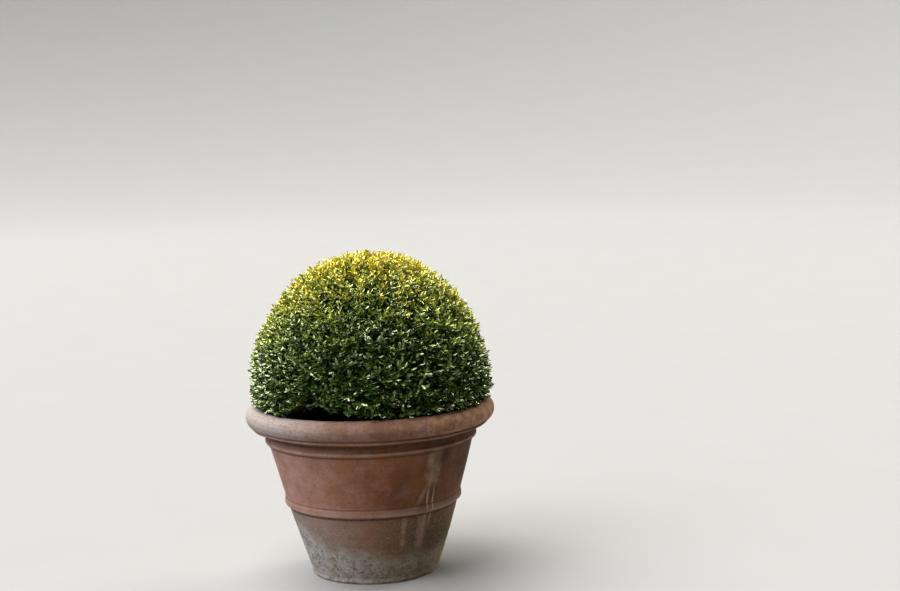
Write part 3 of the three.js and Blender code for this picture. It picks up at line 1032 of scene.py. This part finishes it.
def fired_clay(tree, look):
    """The clay itself: blotched, bloomed and painted pale on the left where the light falls, with painted
    shade darkening the right.
    """
    clay = mixed(tree, between(tree, look.broad, 0.35, 0.7), colour(124, 76, 42), colour(99, 58, 33))
    clay = mixed(tree, between(tree, look.blotches, 0.42, 0.66, 0, 0.5), clay, colour(92, 64, 46))
    clay = mixed(tree, between(tree, look.patches, 0.48, 0.70, 0, 0.6), clay, colour(132, 94, 82))
    # Bloom and painted light: the left side, where the light falls, is made paler.
    bloom_and_painted_light = times(tree, between(tree, look.patches, 0.25, 0.62, 0.35, 1), look.left)
    clay = mixed(tree, times(tree, bloom_and_painted_light, 0.75), clay, colour(149, 117, 111))
    # Painted shade: the right side, away from the light, is darkened.
    painted_shade = times(tree, between(tree, look.broad, 0.3, 0.6, 0.4, 1), look.right)
    return mixed(tree, times(tree, painted_shade, 0.92), clay, colour(47, 21, 9))


def dusty_wall(tree, look, clay):
    """Grey dust from the band down, greyest on the left, with an olive tinge in places."""
    dusty = between(tree, look.wavy, *DUST_FROM, 0, 0.5)
    dust = mixed(tree, look.right, colour(101, 85, 71), colour(94, 77, 56))
    dust = mixed(tree, look.left, dust, colour(108, 106, 108))
    clay = mixed(tree, dusty, clay, dust)
    olive = times(tree, between(tree, look.blotches, 0.45, 0.6, 0, 0.4), dusty)
    return mixed(tree, olive, clay, colour(96, 84, 52))


def limed_foot(tree, look, clay):
    """Lime that has risen from the foot, highest on the left, and what grows and shows in it."""
    edge = maths(tree, "ADD", look.wavy, swing(tree, look.broad, LIME_WAVE))
    edge = maths(tree, "ADD", edge, swing(tree, look.fine, LIME_GRAIN))
    rise = times(tree, maths(tree, "POWER", look.left, 3.0), LIME_RISE)
    edge = maths(tree, "SUBTRACT", edge, rise)
    limed = times(tree, between(tree, edge, *LIME_FROM), between(tree, look.fine, 0.3, 0.6, 0.55, 1))
    lime = mixed(tree, look.right, colour(144, 137, 131), colour(136, 126, 106))
    lime = mixed(tree, look.left, lime, colour(148, 149, 152))
    clay = mixed(tree, times(tree, limed, 0.85), clay, lime)
    algae = times(tree, between(tree, edge, *ALGAE_FROM), between(tree, look.patches, 0.5, 0.66, 0, 0.5))
    clay = mixed(tree, algae, clay, colour(84, 82, 56))
    lichen = between(tree, look.blotches, 0.46, 0.58, 0, 0.6)
    lichen = times(tree, between(tree, look.height, *LICHEN_FROM), lichen)
    lichen = times(tree, lichen, facing_share(tree, *LICHEN_SIDE))
    clay = mixed(tree, lichen, clay, colour(116, 106, 58))
    mottles = between(tree, look.blotches, 0.46, 0.60, 0, 0.55)
    mottles = times(tree, between(tree, edge, *MOTTLES_FROM), mottles)
    clay = mixed(tree, mottles, clay, colour(98, 90, 70))
    spots = times(tree, between(tree, edge, *SPOTS_FROM), between(tree, look.stains, 0.54, 0.63, 0, 0.62))
    return mixed(tree, spots, clay, colour(62, 56, 42))


def mossy_side(tree, look, clay):
    """A strip of moss down the right side, under the band."""
    moss = times(tree, facing_share(tree, *MOSS_SIDE), between(tree, look.patches, 0.4, 0.56))
    moss = times(tree, moss, ring_share(tree, look.height, *MOSS_RING))
    return mixed(tree, times(tree, moss, 0.7), clay, colour(52, 44, 24))


def weathered_rim(tree, look, clay):
    """The rim: warm and mottled on the right, pale and grey on the left as a painted highlight, stained, and
    pitted on top.
    """
    rim = mixed(tree, between(tree, look.patches, 0.42, 0.58), colour(100, 68, 52), colour(114, 86, 78))
    warm = mixed(tree, between(tree, look.blotches, 0.42, 0.60), colour(156, 118, 82), colour(112, 76, 62))
    rim = mixed(tree, times(tree, look.right, 0.7), rim, warm)
    # Painted highlight: the rim is made pale and grey on the left, where the light falls.
    pale = times(tree, times(tree, look.left, look.left), 0.8)
    rim = mixed(tree, pale, rim, colour(142, 136, 134))
    rim = mixed(tree, between(tree, look.stains, 0.52, 0.66, 0, 0.5), rim, colour(100, 72, 48))
    pits = times(tree, between(tree, look.pitted, 0.60, 0.66, 0, 0.6), between(tree, look.height, *PITS_FROM))
    rim = mixed(tree, pits, rim, colour(74, 62, 50))
    return mixed(tree, between(tree, look.height, *RIM_FROM), clay, rim)


def worn_edges(tree, look, clay):
    """Dust on the band, and edges made pale, partly as wear and partly as a painted highlight."""
    dusty = between(tree, look.patches, 0.3, 0.6, 0.3, 0.7)
    dusty = times(tree, ring_share(tree, look.height, *BAND_RING), dusty)
    clay = mixed(tree, dusty, clay, colour(120, 93, 88))
    # The pale edges are partly wear and partly a painted highlight where light catches the ridges.
    worn = between(tree, look.patches, 0.3, 0.6, 0.15, 0.6)
    for ring in WORN_AND_LIT_RINGS:
        share = times(tree, ring_share(tree, look.height, *ring), worn)
        clay = mixed(tree, share, clay, colour(158, 128, 114))
    return clay


def drip_share(tree, look, drip):
    """Where a run of limy water has dried: a soft line down the wall at the drip's bearing."""
    bearing = math.radians(drip["bearing"])
    middle = (drip["low"] + drip["high"]) / 2
    across = dot(tree, look.where, (math.cos(bearing), math.sin(bearing), drip["slant"]))
    across = maths(tree, "SUBTRACT", across, drip["slant"] * middle)
    across = maths(tree, "ADD", across, swing(tree, look.wander, drip["width"]))
    line = between(tree, maths(tree, "ABSOLUTE", across), drip["width"], 0.2 * drip["width"])
    line = times(tree, line, facing_share(tree, bearing, 0.8, 0.9))
    ends = times(tree, ring_share(tree, look.height, drip["low"], middle, drip["high"]), 2.0)
    ends = maths(tree, "MINIMUM", ends, 1.0)
    return times(tree, line, times(tree, ends, drip["share"]))


def dried_drips(tree, look, clay):
    """The runs of limy water, broken here and there, and faint older ones all round."""
    breaks = between(tree, look.patches, 0.35, 0.6, 0.4, 1)
    for drip in DRIPS:
        broken = times(tree, drip_share(tree, look, drip), breaks)
        clay = mixed(tree, broken, clay, colour(156, 131, 108))
    return mixed(tree, between(tree, look.runs, 0.6, 0.75, 0, 0.2), clay, colour(146, 124, 108))


def shaded_corners(tree, look, clay):
    """Painted shade in the cove under the rim and in the corners over and under the band and the collar."""
    corner_shade = 0.0
    for *ring, share in SHADED_RINGS:
        corner_shade = maths(tree, "MAXIMUM", corner_shade, times(tree, ring_share(tree, look.height, *ring), share))
    corner_shade = times(tree, corner_shade, between(tree, look.patches, 0.2, 0.5, 0.75, 1))
    # The colours of the painted shade, mottled.
    shade_colour = mixed(tree, between(tree, look.blotches, 0.42, 0.6), colour(44, 21, 8), colour(62, 43, 19))
    return mixed(tree, corner_shade, clay, shade_colour)


def gritty_clay(tree, look, clay):
    """Dark grain, salt that is thickest low down, a few pale specks, and the throwing lines."""
    grain = noise(tree, look.where, 250, 4, 0.75)
    clay = mixed(tree, between(tree, grain, 0.52, 0.68, 0, 0.55), clay, colour(54, 38, 28))
    salty = between(tree, look.height, *SALT_FROM, 0.1, 0.6)
    salty = times(tree, salty, between(tree, look.stains, 0.35, 0.6))
    salt = between(tree, noise(tree, look.where, 290, 3, 0.7), 0.53, 0.68)
    clay = mixed(tree, times(tree, salt, salty), clay, colour(150, 132, 114))
    specks = between(tree, noise(tree, look.where, 330, 2), 0.69, 0.74, 0, 0.3)
    clay = mixed(tree, specks, clay, colour(176, 160, 148))
    return mixed(tree, between(tree, look.lines, 0.3, 0.7, 0.12, 0), clay, colour(110, 80, 66), "MULTIPLY")


def terracotta_material():
    """Weathered clay: bloomed and painted lighter on the left, painted shade on the right and under its
    edges, limed at the foot, streaked where water ran.
    """
    material, tree, shader = new_material("weathered terracotta", 0.88, 0.25)
    look = clay_patterns(tree)
    clay = fired_clay(tree, look)
    layers = (dusty_wall, limed_foot, mossy_side, weathered_rim, worn_edges, dried_drips, shaded_corners)
    for layer in layers + (gritty_clay,):
        clay = layer(tree, look, clay)
    tree.links.new(clay, shader.inputs["Base Color"])
    rough = maths(tree, "ADD", look.fine, times(tree, look.lines, 0.3))
    bump(tree, shader, rough, 0.0009, 0.8)
    return material


def soil_material():
    material, tree, shader = new_material("moist potting soil", 0.95, 0.2)
    where = place(tree)
    crumbs = noise(tree, where, 120, 5, 0.7)
    earth = mixed(tree, between(tree, crumbs, 0.35, 0.7), colour(30, 22, 16), colour(70, 52, 38))
    grit = between(tree, noise(tree, where, 420, 2), 0.68, 0.74, 0, 0.7)
    tree.links.new(mixed(tree, grit, earth, colour(132, 118, 100)), shader.inputs["Base Color"])
    bump(tree, shader, crumbs, 0.002)
    return material


def bark_material():
    material, tree, shader = new_material("box bark", 0.85, 0.3)
    ridges = noise(tree, place(tree, (130, 130, 40)), 1, 5, 0.6)
    bark = mixed(tree, between(tree, ridges, 0.35, 0.65), colour(84, 70, 50), colour(146, 128, 98))
    lichen = between(tree, noise(tree, place(tree), 45, 3), 0.58, 0.7, 0, 0.5)
    tree.links.new(mixed(tree, lichen, bark, colour(140, 146, 110)), shader.inputs["Base Color"])
    bump(tree, shader, ridges, 0.0012)
    return material


def twig_material():
    material, tree, shader = new_material("green twigs", 0.6, 0.4)
    where = place(tree)
    ageing = between(tree, noise(tree, where, 12, 3), 0.4, 0.6)
    bark = mixed(tree, ageing, colour(92, 92, 44), colour(96, 78, 52))
    streaks = between(tree, noise(tree, where, 300, 2), 0.4, 0.65, 0, 0.4)
    tree.links.new(mixed(tree, streaks, bark, colour(56, 52, 30)), shader.inputs["Base Color"])
    return material


def leaf_material(name, tint):
    """A glossy leaf with a pale rib, each leaf a little different, and a dull pale underside."""
    material, tree, shader = new_material(name, tint["roughness"], 1.0)
    where = place(tree)
    geometry = add_node(tree, "ShaderNodeNewGeometry").outputs
    each = geometry["Random Per Island"]
    blade = mixed(tree, between(tree, each, 0.05, 0.95), tint["upper"], tint["deeper"])
    margin = add_node(tree, "ShaderNodeAttribute", attribute_name="margin").outputs["Fac"]
    rib = between(tree, margin, 0.16, 0.02, 0, 0.35)
    blade = mixed(tree, rib, blade, tint["under"])
    mottle = between(tree, noise(tree, where, 260, 2), 0.4, 0.7, 0, 0.25)
    blade = mixed(tree, mottle, blade, tint["deeper"])
    blade = mixed(tree, geometry["Backfacing"], blade, tint["under"])
    shader.inputs["Specular Tint"].default_value = tint["gloss"]
    shader.inputs["IOR"].default_value = LEAF_WAX
    tree.links.new(blade, shader.inputs["Base Color"])
    bump(tree, shader, noise(tree, where, 200, 2), 0.0016, 0.5)
    return material


def floor_material():
    material, tree, shader = new_material("pale studio floor", 0.9, 0.2)
    mottle = between(tree, noise(tree, place(tree), 3, 3), 0.3, 0.7)
    pale = mixed(tree, mottle, colour(126, 126, 127), colour(127, 127, 128))
    tree.links.new(pale, shader.inputs["Base Color"])
    return material


# The foliage

def add_limbs(limbs, outer, inner):
    """The boughs and branches as one piece, on the foliage's own stem, and the twigs as another."""
    root = FORK * (1, 1, 0) + UP * (STEM_FOOT + STEM_HEIGHT + FIT_GAP)
    top = FORK + UP * STEM_HEIGHT
    own_stem = np.stack([root, (root + top) / 2, top])[None]
    tubes = limb_tree()
    bark = bark_material()
    lines = line_mesh("boughs", [(own_stem, OWN_STEM_RADII)] + limbs[:3])
    mesh = grown_mesh("boughs", tubes, lines, BOUGH_TUBES | {"Finish": bark}, ["thickness"])
    new_piece("boughs", mesh, bark, "bark", "clipped_foliage")
    green = twig_material()
    lines = line_mesh("twigs", [limbs[3], (outer, SHOOT_RADII), (inner, SHOOT_RADII)])
    mesh = grown_mesh("twigs", tubes, lines, TWIG_TUBES | {"Finish": green}, ["thickness"])
    new_piece("twigs", mesh, green, "bark")


def add_leaves(start, turn, grown, tint):
    """The leaves of each tint, as one piece or as several of about the same size."""
    tree = leaf_tree()
    blades = {shape: leaf_blade(f"{shape} leaf", **bend) for shape, bend in BLADES.items()}
    sizes = {"Length": LEAF_LENGTH, "Width": LEAF_WIDTH}
    for number, (name, look) in enumerate(TINTS.items()):
        finish = leaf_material(f"box leaf {name}", look)
        values = sizes | {"Leaf": blades[look["blade"]], "Finish": finish}
        mine = np.flatnonzero(tint == number)
        parts = np.array_split(mine, math.ceil(len(mine) / MOST_LEAVES))
        for part, some in enumerate(parts, start=1):
            points = leaf_points(name, start[some], turn[some], grown[some])
            mesh = grown_mesh(f"{name} leaves {part}", tree, points, values, ["turn", "grown"])
            new_piece(f"{name}_leaves_{part}", mesh, finish, "box_leaves")
    for blade in blades.values():
        bpy.data.objects.remove(blade)


def build_foliage():
    rng = np.random.default_rng(FOLIAGE_SEED)
    limbs, twig_tips = grow_limbs(rng)
    outer = grow_shoots(OUTER_SHOOTS, twig_tips, rng)
    inner = grow_shoots(INNER_SHOOTS, twig_tips, rng)
    add_limbs(limbs, outer[0], inner[0])
    twigs = limbs[3][0]
    add_leaves(*grow_leaves(twigs, outer, inner, rng))


# The studio

SOFT_SUNS = {
    "sky light from above and behind": {
        "from": (-0.35, 0.60, 1.0), "strength": 5.3, "angle": 60, "tint": (1.0, 0.965, 0.90),
    },
    "light from the left": {
        "from": (-1.0, -0.05, 0.50), "strength": 0.92, "angle": 48, "tint": (1.0, 0.98, 0.95),
    },
    "light from above": {
        "from": (-0.36, -0.16, 1.0), "strength": 4.6, "angle": 54, "tint": (1.0, 0.99, 0.95),
    },
    "cool light from the front": {
        "from": (-0.80, -0.60, 0.7), "strength": 1.6, "angle": 36, "tint": (0.96, 0.985, 1.0),
    },
    "low light from behind on the right": {
        "from": (0.84, 0.62, 0.52), "strength": 2.2, "angle": 22, "tint": (1.0, 0.95, 0.76),
    },
}
ROOM_STRENGTH = 0.12
FLOOR_MIDDLE = 0.001
FLOOR_FLAT = 16
FLOOR_SWEEP = 12
FLOOR_SWEEP_TURN = 60
FLOOR_SWEEP_ROWS = 14
FLOOR_COLUMNS = 96
CAMERA_PLACE = Vector((0.0, -3.597, 1.036))
CAMERA_YAW = math.radians(3.22)
CAMERA_PITCH = math.radians(5.95)
CAMERA_ROLL = math.radians(-1.85)
CAMERA_LENS = 60
CAMERA_FILM = 36


def add_camera():
    """The camera, turned by its yaw from the +Y axis, tipped down by its pitch and rolled a little."""
    ahead = Vector((math.sin(CAMERA_YAW), math.cos(CAMERA_YAW), 0))
    right = Vector((math.cos(CAMERA_YAW), -math.sin(CAMERA_YAW), 0))
    up = Vector((0, 0, 1))
    look = ahead * math.cos(CAMERA_PITCH) - up * math.sin(CAMERA_PITCH)
    over = up * math.cos(CAMERA_PITCH) + ahead * math.sin(CAMERA_PITCH)
    rolled_right = right * math.cos(CAMERA_ROLL) + over * math.sin(CAMERA_ROLL)
    rolled_up = over * math.cos(CAMERA_ROLL) - right * math.sin(CAMERA_ROLL)
    data = bpy.data.cameras.new("camera")
    data.lens = CAMERA_LENS
    data.sensor_width = CAMERA_FILM
    camera = new_object("camera", data)
    turn = Matrix((rolled_right, rolled_up, -look)).transposed()
    camera.matrix_world = Matrix.Translation(CAMERA_PLACE) @ turn.to_4x4()
    bpy.context.scene.camera = camera


def add_soft_sun(name, light):
    data = bpy.data.lights.new(name, "SUN")
    data.energy = light["strength"]
    data.angle = math.radians(light["angle"])
    data.color = light["tint"]
    sun = new_object(name, data)
    sun.rotation_euler = Vector(light["from"]).to_track_quat("Z", "Y").to_euler()


def floor_mesh():
    """A wide flat floor that sweeps up at its far edge, the same all round."""
    turn = np.radians(np.linspace(0, FLOOR_SWEEP_TURN, FLOOR_SWEEP_ROWS))
    sweep = np.stack([FLOOR_FLAT + FLOOR_SWEEP * np.sin(turn), FLOOR_SWEEP * (1 - np.cos(turn))], axis=1)
    profile = np.concatenate([[(FLOOR_MIDDLE, 0), (FLOOR_FLAT / 2, 0)], sweep])
    points = turned_points(profile, FLOOR_COLUMNS)
    facing_up = grid_faces(len(profile), FLOOR_COLUMNS, False)[:, ::-1]
    return mesh_of("floor", points, facing_up)


def add_studio():
    """Five soft lights, a dim pale room and the floor."""
    for name, light in SOFT_SUNS.items():
        add_soft_sun(name, light)
    world = bpy.data.worlds.new("pale room")
    world.use_nodes = True
    background = world.node_tree.nodes["Background"]
    background.inputs["Color"].default_value = colour(232, 238, 246)
    background.inputs["Strength"].default_value = ROOM_STRENGTH
    bpy.context.scene.world = world
    bpy.context.scene.view_settings.view_transform = "Standard"
    floor = new_object("floor", floor_mesh())
    floor.data.materials.append(floor_material())


new_piece("weathered_pot", pot_mesh(), terracotta_material(), "terracotta", "terracotta_pot")
new_piece("crumbly_soil", soil_mesh(), soil_material(), "soil", "potting_soil")
new_piece("stem_bark", stem_mesh(), bark_material(), "bark", "main_stem")
build_foliage()
add_camera()
add_studio()
